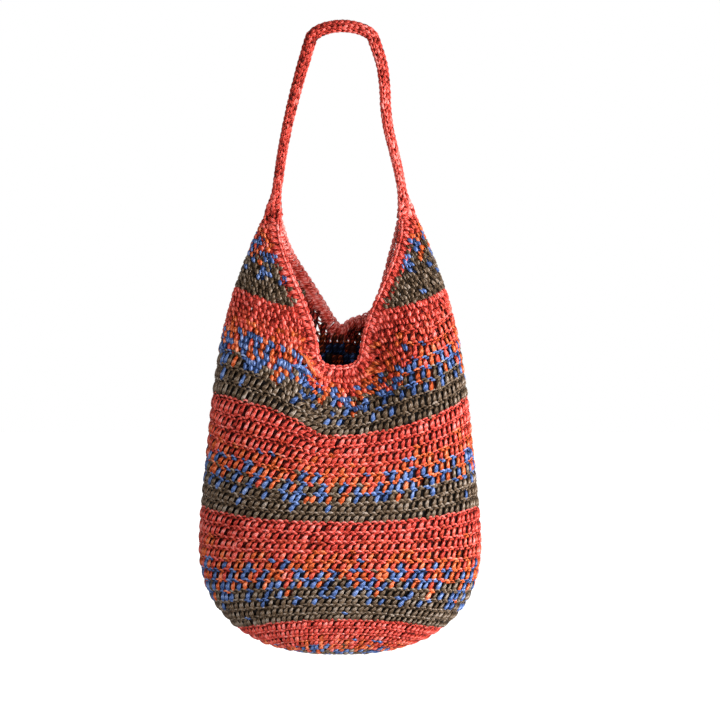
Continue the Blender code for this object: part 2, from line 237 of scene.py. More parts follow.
class StitchSizes(bpy.types.PropertyGroup):
    """Sizes of the yarn and of one stitch."""

    leg_width: FloatProperty(
        name="Leg width",
        description="Width of the plump front leg of a stitch",
        unit="LENGTH",
        default=0.0042,
        min=0.001,
        max=0.008,
    )
    leg_thickness: FloatProperty(
        name="Leg thickness",
        description="Thickness of a leg over its width",
        subtype="FACTOR",
        default=0.72,
        min=0.3,
        max=1.0,
    )
    peak_pitch: FloatProperty(
        name="Peak stitch",
        description="Distance between two stitches in the rows of the peaks",
        unit="LENGTH",
        default=0.0073,
        min=0.004,
        max=0.012,
    )
    edging_pitch: FloatProperty(
        name="Edging stitch",
        description="Distance between two stitches along the edgings",
        unit="LENGTH",
        default=0.0068,
        min=0.004,
        max=0.012,
    )
    strap_pitch: FloatProperty(
        name="Strap stitch",
        description="Length of one stitch along the strap",
        unit="LENGTH",
        default=0.0054,
        min=0.003,
        max=0.012,
    )
    lean: FloatProperty(
        name="Lean",
        description="Lean of the stitches to the right, on the left side of the bag",
        subtype="ANGLE",
        default=math.radians(15),
        min=0.0,
        max=math.radians(40),
    )
    unevenness: FloatProperty(
        name="Unevenness",
        description="How much hand-made stitches differ from each other",
        subtype="FACTOR",
        default=1.0,
        min=0.0,
        max=2.0,
    )
    seed: IntProperty(
        name="Seed",
        description="Start of the random draws",
        default=11,
        min=0,
    )


class StudioLight(bpy.types.PropertyGroup):
    """Lamps and camera of the stage."""

    key: FloatProperty(
        name="Key light",
        description="Power of the large lamp on the right",
        subtype="POWER",
        default=72.0,
        min=0.0,
    )
    fill: FloatProperty(
        name="Fill light",
        description="Power of the wide lamp in front",
        subtype="POWER",
        default=15.0,
        min=0.0,
    )
    neck: FloatProperty(
        name="Neck light",
        description="Power of the soft spot on the neck, from in front and above",
        subtype="POWER",
        default=200.0,
        min=0.0,
    )
    sky: FloatProperty(
        name="Sky",
        description="Strength of the even light from all round",
        default=0.34,
        min=0.0,
        max=2.0,
    )
    camera_distance: FloatProperty(
        name="Camera distance",
        description="From the camera to the bag",
        unit="LENGTH",
        default=2.5,
        min=0.5,
    )
    camera_height: FloatProperty(
        name="Camera elevation",
        description="Angle of the camera above the horizon",
        subtype="ANGLE",
        default=math.radians(3),
    )
    view_width: FloatProperty(
        name="View width",
        description="Width of what the camera sees at the bag",
        unit="LENGTH",
        default=0.684,
        min=0.1,
    )


def share_of_round(count):
    """How far up the side of the bag a round lies, from 0 at the base to 1 at the peak."""
    in_body = np.minimum(count, BODY_ROUNDS)
    in_peak = np.maximum(count - BODY_ROUNDS, 0) * PEAK_ROUND_RATIO
    return (in_body + in_peak) * ROUND_SHARE


NECK_SHARE = float(share_of_round(NECK_ROUND))


def wall_profile(reach, power, top_reach, top_height, waist=0.0):
    """Points (out, up) of a line from the base centre, round the belly and up the wall."""
    angle = np.linspace(0, math.pi / 2, SAMPLES)
    bowl_out = reach * np.sin(angle) ** (2 / power)
    bowl_up = WIDEST_HEIGHT * (1 - np.abs(np.cos(angle)) ** (2 / power))
    rise = np.linspace(0, 1, SAMPLES)[1:]
    wall_out = reach - (reach - top_reach) * rise**2 - waist * np.sin(2 * math.pi * rise)
    wall_up = WIDEST_HEIGHT + (top_height - WIDEST_HEIGHT) * rise
    return np.column_stack([np.append(bowl_out, wall_out), np.append(bowl_up, wall_up)])


def along(profile, share):
    """The profile's (out, height) at a share of its length."""
    steps = np.linalg.norm(np.diff(profile, axis=0), axis=1)
    length = np.append(0, np.cumsum(steps))
    place = np.asarray(share) * length[-1]
    out = np.interp(place, length, profile[:, 0])
    return out, np.interp(place, length, profile[:, 1]) + BASE_Z


SIDE_PROFILE = wall_profile(BODY_WIDTH / 2, BASE_SQUARENESS, PEAK_SPREAD / 2, BODY_HEIGHT, WAIST)
FRONT_PROFILE = wall_profile(
    BODY_DEPTH / 2, ELLIPSE, FRONT_RIM_DEPTH, BODY_HEIGHT - FRONT_DIP - EDGING_WIDTH
)
BACK_PROFILE = wall_profile(
    BODY_DEPTH / 2, ELLIPSE, BACK_RIM_DEPTH, BODY_HEIGHT - BACK_DIP - EDGING_WIDTH
)


def middle_line(profile, share):
    """Depth and height of the front or back centre, carried on above the cut of the neck."""
    depth, height = along(profile, np.minimum(share / NECK_SHARE, 1) ** ROW_CROWD)
    beyond = np.clip((share - NECK_SHARE) / (1 - NECK_SHARE), 0, 1)
    fade = 0.5 + 0.5 * np.cos(math.pi * np.sqrt(beyond))
    sag = profile[-1, 1] + BASE_Z - along(SIDE_PROFILE, NECK_SHARE)[1]
    upper = along(SIDE_PROFILE, share)[1] + PEAK_SAG + (sag - PEAK_SAG) * fade
    taper = PEAK_TAPER * beyond + (1 - PEAK_TAPER) * beyond**2
    narrow = profile[-1, 0] - (profile[-1, 0] - PEAK_DEPTH / 2) * taper
    return np.where(beyond > 0, narrow, depth), np.where(beyond > 0, upper, height)


def signed_power(value, power):
    """The value to a power, with its sign kept."""
    return np.sign(value) * np.abs(value) ** power


def surface(angle, share):
    """Points of the bag's outer skin: angle from the front centre, to the right, and share."""
    angle, share = np.broadcast_arrays(np.asarray(angle, float), np.asarray(share, float))
    across, ahead = np.sin(angle), np.cos(angle)
    half_width, side_z = along(SIDE_PROFILE, share)
    front, front_z = middle_line(FRONT_PROFILE, share)
    back, back_z = middle_line(BACK_PROFILE, share)
    depth = np.where(ahead >= 0, front, back)
    middle_z = np.where(ahead >= 0, front_z, back_z)
    power = 2 / ROUND_SQUARENESS
    x = half_width * signed_power(across, power)
    fold = np.clip((share - FOLD_START) / (1 - FOLD_START), 0, 1)
    y = -depth * signed_power(ahead, power + (2 / PEAK_SQUARENESS - power) * fold)
    z = side_z + (middle_z - side_z) * ahead**2
    aside = (angle % (2 * math.pi) - SLUMP_ANGLE) / SLUMP_WIDTH
    slump = np.exp(-(aside**2) - ((share - SLUMP_SHARE) / SLUMP_REACH) ** 2)
    turned = (angle - FOLD_ANGLE + math.pi) % (2 * math.pi) - math.pi
    sunk = np.exp(-((turned / FOLD_WIDTH) ** 2) - ((share - FOLD_SHARE) / FOLD_REACH) ** 2)
    y = y + BACK_LEAN * slump + FRONT_FOLD * sunk
    return np.stack([x, y, z - BACK_SLUMP * slump], axis=-1)


def slopes(angle, share):
    """Change of the skin's point per radian and per share."""
    by_angle = (surface(angle + STEP, share) - surface(angle - STEP, share)) / (2 * STEP)
    low = np.maximum(share - STEP, 0)
    high = np.minimum(share + STEP, 1)
    by_share = (surface(angle, high) - surface(angle, low)) / (high - low)[..., None]
    return by_angle, by_share


def unit(vectors):
    """The vectors at length 1."""
    return vectors / np.maximum(np.linalg.norm(vectors, axis=-1, keepdims=True), TINY)


def outward(angle, share):
    """Unit normals of the skin."""
    by_angle, by_share = slopes(angle, share)
    normal = np.cross(by_angle, by_share)
    flat = np.linalg.norm(normal, axis=-1, keepdims=True) < NO_SLOPE
    return np.where(flat, np.array([0.0, 0.0, -1.0]), unit(normal))


def cut_angle(share, cut):
    """Angle from the centre line to the cut of the neck, above the last whole round."""
    peak_angle, flare, flat = cut
    rise = np.clip((share - NECK_SHARE) / (1 - NECK_SHARE), 0, 1)
    bottom = flat * (1 - rise) ** FLAT_FADE * np.tanh(rise / FLAT_CORNER)
    return peak_angle * rise**flare + bottom


def eased(line, passes):
    """The line with its corners rounded off and its ends kept."""
    line = line.copy()
    for _ in range(passes):
        line[1:-1] = (line[:-2] + 2 * line[1:-1] + line[2:]) / 4
    return line


class Strands:
    """Strands of yarn, gathered for one mesh. Each is swept along its own centre points."""

    def __init__(self):
        self.points, self.loops, self.starts = [], [], []
        self.maps, self.yarns, self.tones = [], [], []
        self.point_count = 0
        self.loop_count = 0

    def sweep(self, centre, normal, width, thickness, yarn, tone, sides=6):
        """centre and normal are [strand, point, 3]; width, thickness and tone [strand, point]."""
        count, stations = centre.shape[:2]
        run = unit(np.gradient(centre, axis=1))
        aside = unit(np.cross(run, normal))
        above = np.cross(aside, run)
        turn = np.arange(sides) * 2 * math.pi / sides
        ring = (
            centre[:, :, None]
            + (width[..., None] / 2 * np.cos(turn))[..., None] * aside[:, :, None]
            + (thickness[..., None] / 2 * np.sin(turn))[..., None] * above[:, :, None]
        )
        first = self.point_count + np.arange(count)[:, None] * stations * sides
        self.points.append(ring.reshape(-1, 3))
        step = np.arange(stations - 1)[:, None] * sides
        here, there = np.arange(sides), (np.arange(sides) + 1) % sides
        quad = np.stack([step + here, step + sides + here, step + sides + there, step + there], -1)
        quads = first[:, :, None, None] + quad[None].reshape(1, -1, 1, 4)
        length = np.cumsum(np.linalg.norm(np.diff(centre, axis=1), axis=2), axis=1)
        length = np.concatenate([np.zeros((count, 1)), length], axis=1)
        low, high = length[:, :-1, None], length[:, 1:, None]
        side_low = np.broadcast_to(here / sides, (count, stations - 1, sides))
        side_high = side_low + 1 / sides
        u = np.stack(np.broadcast_arrays(low, high, high, low), -1)
        u = np.broadcast_to(u, (count, stations - 1, sides, 4))
        v = np.stack([side_low, side_low, side_high, side_high], -1)
        self.add_faces(quads.reshape(-1, 4), np.stack([u, v], -1).reshape(-1, 4, 2), yarn)
        last = first + (stations - 1) * sides
        for cap in (first + here, last + here[::-1]):
            self.add_faces(cap, np.zeros((*cap.shape, 2)), yarn)
        self.tones.append(np.repeat(np.ravel(tone), sides))
        self.point_count += count * stations * sides

    def add_faces(self, corners, coordinates, yarn):
        """Adds like faces; each strand has the same number of them."""
        faces, size = corners.shape
        each = faces // len(yarn)
        self.starts.append(self.loop_count + np.arange(faces) * size)
        self.loops.append(corners.ravel())
        self.maps.append(coordinates.reshape(-1, 2))
        self.yarns.append(np.repeat(yarn, each))
        self.loop_count += faces * size

    def finish(self, name, materials, nodes):
        """Makes the object, which rides on the body and stands for the given nodes."""
        mesh = bpy.data.meshes.new(name)
        mesh.vertices.add(self.point_count)
        mesh.vertices.foreach_set("co", np.vstack(self.points).astype(np.float32).ravel())
        mesh.loops.add(self.loop_count)
        mesh.loops.foreach_set("vertex_index", np.concatenate(self.loops).astype(np.int32))
        starts = np.concatenate(self.starts).astype(np.int32)
        mesh.polygons.add(len(starts))
        mesh.polygons.foreach_set("loop_start", starts)
        used, places = np.unique(np.concatenate(self.yarns), return_inverse=True)
        for yarn in used:
            mesh.materials.append(materials[yarn])
        mesh.polygons.foreach_set("material_index", places.astype(np.int32))
        mesh.update(calc_edges=True)
        mesh.shade_smooth()
        strand_map = mesh.uv_layers.new(name="strand")
        strand_map.data.foreach_set("uv", np.vstack(self.maps).astype(np.float32).ravel())
        tone = mesh.attributes.new("tone", "FLOAT", "POINT")
        tone.data.foreach_set("value", np.concatenate(self.tones).astype(np.float32))
        obj = bpy.data.objects.new(name, mesh)
        bpy.context.scene.collection.objects.link(obj)
        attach(obj, "root")
        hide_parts(*nodes)


def add_node(tree, kind, settings=None, **links):
    """Adds a shader node with its settings; a link names an input and gives a socket or a value."""
    node = tree.nodes.new(kind)
    for name, value in (settings or {}).items():
        setattr(node, name, value)
    for name, value in links.items():
        socket = node.inputs[name.replace("_", " ")]
        if isinstance(value, bpy.types.NodeSocket):
            tree.links.new(value, socket)
        else:
            socket.default_value = value
    return node


# Paper raffia: a flat ribbon of wood-pulp paper, 15 mm wide, that is crumpled lengthwise into a
# round yarn with a slight twist. Its folds run along each strand, about 1 mm apart.
FOLD_SPACING = 0.0010
FOLD_STRETCH = 0.22  # width of a fold over its length
STRAND_GIRTH = 0.011  # way round a plump strand
YARN_TWIST = math.radians(24)
FOLD_HEIGHT = 0.0008
FOLD_BUMP = 0.55  # share of that height that shows
DYE_PATCHES = 140.0  # patches of even dye in a metre: each is about 7 mm wide, as a stitch is
# Range of each noise that is used, and how much it adds to the shade or takes from it
# The fold streaks are painted highlight on the crowns of the folds and painted shade in their
# hollows, from the same noise as the bump
FOLD_STREAKS = (0.34, 0.66, 0.44)
DYE_UNEVEN = (0.3, 0.7, 0.14)
# Place on the scale of shades, then how strong and how pure the dye shows there and how much white is
# added. The scale runs from the yarn deep between the stitches, where painted shade makes it dark and
# of a purer colour, as light bounced between the strands would, to the crowns of the folds, where
# white is added as a painted highlight
TONE_STEPS = (
    (0.0, 0.04, 1.4, 0.0),
    (0.35, 0.68, 1.15, 0.0),
    (0.6, 1.0, 1.0, 0.022),
    (1.0, 1.15, 0.9, 0.27),
)


def raffia(name, colour):
    """Dyed paper raffia, crumpled into yarn and crocheted: matt, with a faint shine on its folds.

    The folds give fine streaks along each strand, painted highlight on their crowns and painted shade
    in their hollows, and the dye takes unevenly from stitch to stitch.
    """
    material = bpy.data.materials.new(name)
    material.use_nodes = True
    tree = material.node_tree
    shader = tree.nodes["Principled BSDF"]
    strand = add_node(tree, "ShaderNodeUVMap", {"uv_map": "strand"}).outputs["UV"]
    turn = (0.0, 0.0, YARN_TWIST)
    twist = add_node(
        tree, "ShaderNodeMapping", Vector=strand, Scale=(1.0, STRAND_GIRTH, 1.0), Rotation=turn
    )
    size = (FOLD_STRETCH / FOLD_SPACING, 1 / FOLD_SPACING, 1.0)
    stretch = add_node(tree, "ShaderNodeMapping", Vector=twist.outputs["Vector"], Scale=size)
    crumpled = stretch.outputs["Vector"]
    folds = add_node(tree, "ShaderNodeTexNoise", Vector=crumpled, Scale=1.0, Detail=3.0)
    place = add_node(tree, "ShaderNodeTexCoord").outputs["Object"]
    dye = add_node(tree, "ShaderNodeTexNoise", Vector=place, Scale=DYE_PATCHES, Detail=2.0)
    # The tone attribute holds the random tone of each strand together with the painted shade and
    # painted highlight set where the stitches are worked
    tone = {"attribute_name": "tone", "attribute_type": "GEOMETRY"}
    mixed = add_node(tree, "ShaderNodeAttribute", tone).outputs["Fac"]
    for noise, (low, high, strength) in ((folds, FOLD_STREAKS), (dye, DYE_UNEVEN)):
        part = add_node(
            tree,
            "ShaderNodeMapRange",
            Value=noise.outputs["Fac"],
            From_Min=low,
            From_Max=high,
            To_Min=-strength,
            To_Max=strength,
        )
        added = add_node(tree, "ShaderNodeMath", {"operation": "ADD"})
        tree.links.new(mixed, added.inputs[0])
        tree.links.new(part.outputs["Result"], added.inputs[1])
        mixed = added.outputs["Value"]
    shades = add_node(tree, "ShaderNodeValToRGB", Fac=mixed)
    stops = shades.color_ramp.elements
    for middle_step in TONE_STEPS[1:-1]:
        stops.new(middle_step[0])
    for stop, (_, strength, purity, white) in zip(stops, TONE_STEPS):
        stop.color = tuple(min(strength * c**purity + white, 1.0) for c in colour) + (1.0,)
    tree.links.new(shades.outputs["Color"], shader.inputs["Base Color"])
    height = folds.outputs["Fac"]
    bump = add_node(
        tree, "ShaderNodeBump", Height=height, Strength=FOLD_BUMP, Distance=FOLD_HEIGHT
    )
    tree.links.new(bump.outputs["Normal"], shader.inputs["Normal"])
    shader.inputs["Roughness"].default_value = 0.62
    shader.inputs["IOR"].default_value = 1.5
    shader.inputs["Specular IOR Level"].default_value = 0.12
    return material


def yarn_materials():
    """The five dyes of the yarn, made once."""
    colours = bpy.context.scene.bag_yarns
    made = []
    for name in ("coral", "vermilion", "orange", "blue", "olive"):
        full = name + "_paper_raffia"
        material = bpy.data.materials.get(full)
        made.append(material or raffia(full, getattr(colours, name)))
    return made


def length_table(angles, share):
    """(shares of a row's length, angles, length) along a row of stitches."""
    points = surface(angles, share)
    length = np.append(0, np.cumsum(np.linalg.norm(np.diff(points, axis=0), axis=1)))
    return length / length[-1], angles, length[-1]


def smooth_step(value):
    """0 below 0, 1 above 1, and an even turn between."""
    value = np.clip(value, 0, 1)
    return value * value * (3 - 2 * value)


def from_front(angle):
    """Degrees from the front centre, below 0 on the left."""
    return (np.degrees(angle) + 180) % 360 - 180


def turned_on(value, start, end):
    """0 before the start, 1 after the end, and an even turn between."""
    return smooth_step((value - start) / (end - start))


def lift_of(level, angle):
    """How many rounds the hanging cloth lifts a round."""
    degrees = from_front(angle)
    lift = np.zeros(np.broadcast(level, angle).shape)
    for centre, middle, reach, width, height in DRAPE:
        away = ((level - centre) / reach) ** 2 + ((degrees - middle) / width) ** 2
        lift += height * np.exp(-away)
    for side, place in ((-1, DRAPE_LEFT), (1, DRAPE_RIGHT)):
        lift *= np.where(side * degrees >= 0, turned_on(side * degrees, *place), 1.0)
    return lift


def draped_share(level, angle):
    """Share of the side at which a round lies, with the lift of the hanging cloth."""
    return share_of_round(np.minimum(level + lift_of(level, angle), FULL_ROUNDS))


ROUND_POINTS = 721  # points along the middle line of a whole round
PEAK_POINTS = 361  # points along the middle line of a row in a peak
SEARCH_POINTS = 1441  # points among which the two ends of such a row are found


class Row:
    """One row of stitches. They stand across its middle line, wherever that line goes."""

    def __init__(self, level, side=0):
        self.level = level
        self.side = side
        self.closed = side == 0
        self.bottom, self.middle = level - 1.0, level - 0.5
        if self.closed:
            angles = np.linspace(math.pi, 3 * math.pi, ROUND_POINTS)
            self.count = min(INCREASES * level, FULL_COUNT)
        else:
            fine = np.linspace(0.0, math.pi, SEARCH_POINTS)
            share = draped_share(self.middle, side * fine)
            past_front = fine >= cut_angle(share, FRONT_CUT)
            before_back = math.pi - fine >= cut_angle(share, BACK_CUT)
            kept = fine[past_front & before_back]
            angles = side * np.linspace(kept[0], kept[-1], PEAK_POINTS)[::side]
        self.table = length_table(angles, draped_share(self.middle, angles))
        if not self.closed:
            pitch = bpy.context.scene.bag_stitches.peak_pitch
            self.count = max(3, round(self.table[2] / pitch))

    def place(self, cell, up):
        """(angle, share) at a distance along the row in stitches, and up in rows."""
        along_row = cell / self.count
        whole = np.floor(along_row) if self.closed else 0.0
        part = along_row - whole
        angle = np.interp(part, self.table[0], self.table[1]) + whole * 2 * math.pi
        middle = draped_share(self.middle, angle)
        before, after = (draped_share(self.middle, angle + step) for step in (-STEP, STEP))
        slant = (after - before) / (2 * STEP)
        by_angle, by_share = slopes(angle, middle)
        along_line = by_angle + by_share * slant[..., None]
        skew = (along_line * by_share).sum(-1) / (along_line * by_angle).sum(-1)
        if self.level <= NECK_ROUND:
            degrees = from_front(angle)
            steep = turned_on(-degrees, *STEEP_PLACE) * (degrees > -90)
            skew = skew * (1 - (1 - STEEP_SHARE) * steep)
        climb = draped_share(self.bottom + up, angle) - middle
        angle = angle - skew * climb
        return angle, np.clip(draped_share(self.bottom + up, angle), 0, 1)


def body_rows():
    """Whole rounds from the base up, then the rows of both peaks."""
    rows = [Row(level) for level in range(1, NECK_ROUND + 1)]
    for side in (-1, 1):
        rows += [Row(level, side) for level in range(NECK_ROUND + 1, FULL_ROUNDS + 1)]
    return rows


# How the yarns of a row are drawn
WELL_MIXED = 0.618  # share of a turn from one stitch to the next that repeats least
CHANCE_SHARE = 0.3  # share of the stitches whose yarn is left to chance
OTHER_YARN_SHARE = 0.6  # share of the stitches whose second leg is drawn anew


def drawn(chances, draws):
    """A yarn for each draw from 0 to 1."""
    return np.searchsorted(np.cumsum(chances)[:-1], draws)


def mixed_draws(rng, count):
    """Draws from 0 to 1 for the stitches of a row, well mixed along it, some left to chance."""
    draws = (rng.random() + np.arange(count) * WELL_MIXED) % 1.0
    return np.where(rng.random(count) < CHANCE_SHARE, rng.random(count), draws)


def yarns_of_row(level, side, count, rng):
    """Yarn of the front leg and of the second leg of each stitch of a row."""
    if side > 0 and level >= RIGHT_PEAK_FROM:
        level = level - RIGHT_PEAK_AHEAD
    below = max(turn for turn in COLOUR_TURNS if turn < level)
    above = min(turn for turn in COLOUR_TURNS if turn >= level)
    down = (above - level + 0.5) / (above - below)
    draws = mixed_draws(rng, count)
    other = np.where(rng.random(count) < OTHER_YARN_SHARE, rng.random(count), draws)
    legs = []
    for table, own in ((FRONT_LEG_YARNS, draws), (SECOND_LEG_YARNS, other)):
        chances = next(chances for end, chances in table if down < end)
        legs.append(drawn(chances, own))
    return legs


# Centre points of the strands of one stitch: how far along the row in stitches, up in rows, out
# from the skin in millimetres, and the share of the leg's full width there
FRONT_LEG = (
    (0.24, -0.06, -3.0, 0.60),
    (0.26, 0.09, -1.8, 0.92),
    (0.31, 0.27, -1.3, 1.02),
    (0.38, 0.46, -1.3, 0.92),
    (0.45, 0.64, -1.6, 0.76),
    (0.52, 0.84, -2.6, 0.56),
)
SECOND_LEG = (
    (0.34, 0.70, -3.0, 0.36),
    (0.60, 0.80, -1.9, 0.56),
    (0.86, 0.84, -1.7, 0.60),
    (1.10, 0.81, -2.1, 0.54),
    (1.32, 0.72, -3.0, 0.36),
)
LINK = (
    (-0.08, 0.94, -2.8, 0.28),
    (0.20, 1.02, -1.2, 0.46),
    (0.50, 1.05, -0.9, 0.50),
    (0.80, 1.02, -1.3, 0.44),
    (1.06, 0.94, -2.8, 0.28),
)
# Round the neck the cloth is bunched up, so that each stitch shows two short loops, and between
# them the link, all slanting to the left
NECK_FRONT_LEG = (
    (0.12, 0.60, -3.2, 0.34),
    (0.18, 0.48, -2.0, 0.66),
    (0.29, 0.33, -1.3, 0.90),
    (0.41, 0.18, -1.3, 0.90),
    (0.52, 0.04, -2.0, 0.66),
    (0.60, -0.08, -3.2, 0.34),
)
NECK_SECOND_LEG = (
    (0.58, 1.08, -3.2, 0.34),
    (0.68, 0.93, -1.8, 0.68),
    (0.84, 0.76, -1.2, 0.86),
    (1.00, 0.58, -1.8, 0.68),
    (1.12, 0.44, -3.2, 0.34),
)
NECK_LINK = (
    (0.20, 1.10, -3.0, 0.26),
    (0.29, 0.95, -1.6, 0.46),
    (0.42, 0.78, -1.2, 0.52),
    (0.56, 0.62, -1.7, 0.46),
    (0.66, 0.48, -3.0, 0.26),
)
INNER_LEG = (
    (0.98, -0.14, -4.2, 1.05),
    (1.00, 0.26, -4.8, 1.25),
    (0.95, 0.68, -4.8, 1.25),
    (0.87, 1.12, -4.2, 1.05),
)
MILLIMETRE = 0.001
STITCH_ASPECT = 1.6  # height of a row over the width of a stitch


# Where the bunched stitches begin, in rounds with the lift of the cloth
NECK_FROM = 33.3
NECK_BLEND = 1.4  # rounds over which they become all of them
NECK_MIDDLE = (1.6, 30.0)  # rounds by which they begin lower at the centre, and its reach
NECK_RIGHT = (2.6, 22.0, 32.0)  # rounds by which they begin higher between these degrees
NECK_UPRIGHT = (5.0, 25.0)  # degrees to the right between which they turn upright
NECK_LEAN = (math.radians(2), math.radians(14))  # how much they are turned up, left and right
NECK_UNEVEN = 0.14  # how unevenly, in radians
RIGHT_TURN = 1.1  # share of the lean that the other stitches lose towards the right side
RIGHT_LEAN = (math.radians(12), 31.0, 34.0)  # how much more of it they lose over these rounds

# Beside the neck on the right the cloth is drawn in, and its stitches lie close and in the shade,
# which is painted into their yarn: round, degrees from the front centre, reach in rounds and degrees,
# and how much darker the painted shade makes them
SHADED = (33.5, 27.0, 3.5, 13.0, 0.22)
# Painted shade: the yarn is drawn darker the deeper it lies below the skin, between and under its
# neighbours
SHADE_DEPTH_FROM = 1.5  # millimetres below the skin where the yarn begins to darken
SHADE_DEPTH_FADE = 0.30  # how much darker it is, per millimetre
# Painted highlight on the links
LINK_HIGHLIGHT = 0.10  # how much lighter the links are, which stand out along each row

# The legs on the inside of the bag
INNER_FULL = 1.5  # how much wider they are where no light comes through
INNER_THICK = 0.0036  # the most that they are thick, so that they lie flat
# The inside legs are painted in shade: lighter at the rim of the back, where light comes in at the
# neck, and dark deep in the bag, on the inside of the front and in the gaps between the bunched
# stitches
INNER_TONE = 0.55  # their shade at the rim of the back
INNER_SHADED_TONE = -0.16  # and deep in the bag
INNER_FADE = (35.0, 41.0)  # rounds between which it turns from the one to the other
NECK_GAP_SHADE = 0.26  # and where they show in the gaps between the bunched stitches
LOOSE_FROM = 35  # round from which some stitches of the back are loose, with holes to see through
LOOSE_BACK = -0.4  # they are near the centre of the back: the cosine there is below this
LOOSE_SHADE = 0.52  # those whose front leg is paler than this
LOOSE_WIDTHS = (1.0, 0.26, 0.50, 1.0)  # share of the width that their inside legs keep

# How unevenly the stitches are worked: each is the spread of a random draw
SHIFT_SPREAD = 0.06  # along the row, in stitches
RAISE_SPREAD = 0.04  # up, in rows
PLUMP_SPREAD = 0.10  # share of the width
STRAND_WOBBLE = 0.035  # of a whole strand along the row, in stitches
POINT_WOBBLE = 0.02  # of one of its points
DEPTH_SPREAD = 0.00018  # out from the skin
MEAN_SHADE = 0.5
SHADE_SPREAD = 0.09
SPECKLE = 0.05  # of the shade from point to point

FRONT, SECOND, LINKED, INSIDE = range(4)  # the four strands of a stitch


def depth_shaded_tone(shape, tone):
    """Tone at each point of the strands, with painted shade: darker where they dive under their
    neighbours.
    """
    depth = np.maximum(-shape[..., 2] - SHADE_DEPTH_FROM, 0)
    return tone[:, None] - SHADE_DEPTH_FADE * depth


def bunched(row, middle, rng):
    """Which stitches of a row are bunched up round the front of the neck."""
    degrees = from_front(middle)
    begun = NECK_FROM + NECK_BLEND * rng.random(row.count)
    begun = begun - NECK_MIDDLE[0] * np.exp(-((degrees / NECK_MIDDLE[1]) ** 2))
    begun = begun + NECK_RIGHT[0] * turned_on(degrees, *NECK_RIGHT[1:])
    return (row.level + lift_of(row.level, middle) >= begun) & (np.cos(middle) > 0)


def lean_of(row, middle, near_neck, rng):
    """How far each stitch leans to the right, in stitches for each row that it goes up."""
    sizes = bpy.context.scene.bag_stitches
    low, high = NECK_LEAN
    neck_lean = low + (high - low) * turned_on(from_front(middle), *NECK_UPRIGHT)
    neck_lean = neck_lean + rng.normal(0, NECK_UNEVEN, row.count) * sizes.unevenness
    right = np.clip(np.sin(middle) * (np.cos(middle) > 0), 0, 1)
    lean = sizes.lean * (1.0 - RIGHT_TURN * right)
    lean = lean - RIGHT_LEAN[0] * right * turned_on(row.level, *RIGHT_LEAN[1:])
    return np.tan(np.where(near_neck, neck_lean, lean)) * STITCH_ASPECT


def shade_beside_neck(row, middle):
    """How much painted shade darkens each stitch where the cloth is drawn in."""
    level, right, reach, spread, darker = SHADED
    away = ((row.level - level) / reach) ** 2 + ((from_front(middle) - right) / spread) ** 2
    return darker * np.exp(-away)


def inner_legs(row, middle, near_neck, shades):
    """Tone of each leg on the inside, with its painted shade, and how much wider it is at its points.
    """
    facing = np.cos(middle)
    # painted light near the rim of the back, painted shade deeper in the bag and on the front's
    # inside
    lit = turned_on(row.level, *INNER_FADE) * (facing < 0)
    tone = INNER_SHADED_TONE + (INNER_TONE - INNER_SHADED_TONE) * lit
    tone = np.where(near_neck, NECK_GAP_SHADE, tone) + shades[INSIDE] - MEAN_SHADE
    open_row = (facing < LOOSE_BACK) & (row.level >= LOOSE_FROM)
    loose = open_row & (shades[FRONT] > LOOSE_SHADE)
    full = np.where(open_row, 1.0, INNER_FULL)
    return tone, np.where(loose[:, None], np.array(LOOSE_WIDTHS), full[:, None])


def work_row(strands, row, rng, scale):
    """Adds the strands of one row of stitches."""
    sizes = bpy.context.scene.bag_stitches
    uneven = sizes.unevenness
    cells = np.arange(row.count)
    front_yarn, second_yarn = yarns_of_row(row.level, row.side, row.count, rng)
    middle, _ = row.place(cells + 0.5, np.full(row.count, 0.5))
    near_neck = bunched(row, middle, rng)
    lean = lean_of(row, middle, near_neck, rng)
    shift = rng.normal(0, SHIFT_SPREAD, row.count) * uneven
    raised = rng.normal(0, RAISE_SPREAD, row.count) * uneven
    plump = 1 + rng.normal(0, PLUMP_SPREAD, row.count) * uneven
    shades = rng.normal(MEAN_SHADE, SHADE_SPREAD, (4, row.count))
    darker = shade_beside_neck(row, middle)
    parts = (  # shape of the strand, its shape near the neck, its yarn and the sides of its tube
        (FRONT_LEG, NECK_FRONT_LEG, front_yarn, 6),
        (SECOND_LEG, NECK_SECOND_LEG, second_yarn, 5),
        (LINK, NECK_LINK, second_yarn, 4),
        (INNER_LEG, INNER_LEG, front_yarn, 5),
    )
    for part, (shape, neck_shape, yarn, sides) in enumerate(parts):
        shape = np.where(near_neck[:, None, None], np.array(neck_shape), np.array(shape))
        wobble = rng.normal(0, STRAND_WOBBLE, (row.count, 1))
        wobble = wobble + rng.normal(0, POINT_WOBBLE, shape.shape[:2])
        cell = cells[:, None] + shape[..., 0] + shift[:, None] + wobble * uneven
        if part != INSIDE:
            cell = cell + lean[:, None] * (shape[..., 1] - 0.5)
        angle, share = row.place(cell, shape[..., 1] + raised[:, None])
        normal = outward(angle, share)
        depth = shape[..., 2] * MILLIMETRE
        depth = depth + rng.normal(0, DEPTH_SPREAD, (row.count, 1)) * uneven
        centre = surface(angle, share) + normal * depth[..., None]
        width = sizes.leg_width * scale * shape[..., 3] * plump[:, None]
        thickness = width * sizes.leg_thickness
        speckle = rng.normal(0, SPECKLE, cell.shape)
        if part == INSIDE:
            shade, wider = inner_legs(row, middle, near_neck, shades)
            tone = np.broadcast_to(shade[:, None], cell.shape)
            width = width * wider
            thickness = np.minimum(thickness, INNER_THICK)
        else:
            tone = depth_shaded_tone(shape, shades[part] - darker) + speckle
        if part == LINKED:
            tone = tone + LINK_HIGHLIGHT
        strands.sweep(centre, normal, width, thickness, yarn, tone, sides)


